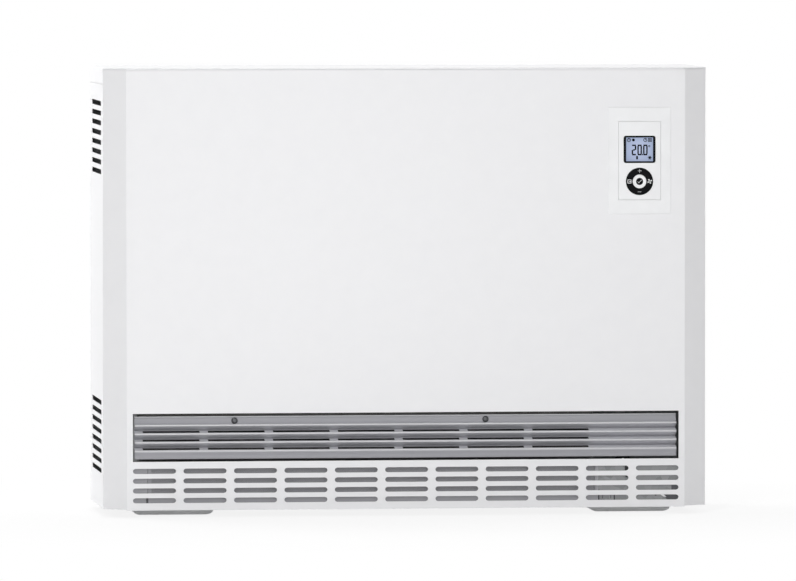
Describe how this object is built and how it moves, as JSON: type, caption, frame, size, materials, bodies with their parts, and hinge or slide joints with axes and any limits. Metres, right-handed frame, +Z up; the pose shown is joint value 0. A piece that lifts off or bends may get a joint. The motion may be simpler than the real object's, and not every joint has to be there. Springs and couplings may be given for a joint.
{
  "type": "storage heater",
  "caption": "Floor-standing night storage heater: a sheet steel casing on two feet, with a louvred warm air outlet, rows of air inlet slots and a control panel.",
  "frame": {"origin": "on the floor under the middle of the heater, where the feet stand", "axes": "+X to the right as seen from the front, +Y to the back, +Z up"},
  "size_m": [0.88, 0.245, 0.65],
  "materials": {
    "white_paint": "satin",
    "grille_paint": "satin",
    "galvanised": "satin",
    "dark_steel": "satin",
    "foot_plastic": "matte",
    "filter_plastic": "matte",
    "filter_gauze": "matte",
    "brick": "matte",
    "insulation_board": "matte",
    "element_sheath": "satin",
    "white_plastic": "satin",
    "black_plastic": "satin",
    "fan_plastic": "matte",
    "rubber": "matte",
    "display_glass": "gloss",
    "lcd": "satin",
    "circuit_board": "satin",
    "motor_steel": "satin",
    "bronze": "satin"
  },
  "bodies": {
    "casing": {"front_panel": "white_paint", "left_side_panel": "white_paint", "right_side_panel": "white_paint", "top_cover": "white_paint", "rear_panel": "galvanised", "left_foot": "foot_plastic", "right_foot": "foot_plastic", "base_frame": "galvanised", "outlet_grille": "grille_paint", "outlet_duct": "galvanised", "duct_ceiling": "galvanised", "bimetal_strip": "bronze", "fan_housing": "galvanised", "lint_filter_frame": "filter_plastic", "lint_filter_mesh": "filter_gauze", "grille_screw_left": "dark_steel", "grille_screw_right": "dark_steel", "fan_motor": "motor_steel", "bearing_left": "bronze", "bearing_right": "bronze", "core_floor": "insulation_board", "core_sleeve": "galvanised", "insulation_rear": "insulation_board", "insulation_front": "insulation_board", "insulation_top": "insulation_board", "insulation_left": "insulation_board", "insulation_right": "insulation_board", "brick_layer_1_column_1": "brick", "brick_layer_1_column_2": "brick", "brick_layer_1_column_3": "brick", "brick_layer_2_column_1": "brick", "brick_layer_2_column_2": "brick", "brick_layer_2_column_3": "brick", "brick_layer_3_column_1": "brick", "brick_layer_3_column_2": "brick", "brick_layer_3_column_3": "brick", "brick_layer_4_column_1": "brick", "brick_layer_4_column_2": "brick", "brick_layer_4_column_3": "brick", "heating_element_1": "element_sheath", "heating_element_2": "element_sheath", "heating_element_3": "element_sheath", "control_frame": "white_plastic", "control_fascia": "white_plastic", "display_lens": "display_glass", "lcd_panel": "lcd", "control_board": "circuit_board", "control_box": "white_plastic", "terminal_block": "black_plastic", "power_board": "circuit_board", "safety_cutout": "black_plastic", "cable_grommet": "rubber", "service_cover": "galvanised"},
    "fan_rotor": {"fan_shaft": "dark_steel", "impeller_left": "fan_plastic", "impeller_right": "fan_plastic"},
    "mixing_flap": {"mixing_flap": "galvanised"},
    "ok_key": {"ok_key": "white_plastic"},
    "ring_collar": {"ring_collar": "rubber"},
    "nav_ring": {"nav_ring_key": "black_plastic"}
  },
  "joints": [
    {"name": "fan_spin", "type": "hinge", "parent": "casing", "child": "fan_rotor", "pos_m": [0, -0.062, 0.048], "axis": [1, 0, 0], "continuous": true},
    {"name": "flap_swing", "type": "hinge", "parent": "casing", "child": "mixing_flap", "pos_m": [0, -0.06086, 0.11772], "axis": [-1, 0, 0], "range_deg": [0, 35]},
    {"name": "ok_key_press", "type": "slide", "parent": "casing", "child": "ok_key", "axis": [0, 1, 0], "range_m": [0, 0.0006], "stiffness_N_per_m": 1500, "springref_m": -0.0004},
    {"name": "ring_tilt_sideways", "type": "hinge", "parent": "casing", "child": "ring_collar", "pos_m": [0.3406, -0.117, 0.4844], "axis": [0, 0, 1], "range_deg": [-1.5, 1.5], "stiffness_Nm_per_rad": 0.6},
    {"name": "ring_tilt_updown", "type": "hinge", "parent": "ring_collar", "child": "nav_ring", "pos_m": [0.3406, -0.1205, 0.4844], "axis": [1, 0, 0], "range_deg": [-1.5, 1.5], "stiffness_Nm_per_rad": 0.6}
  ]
}
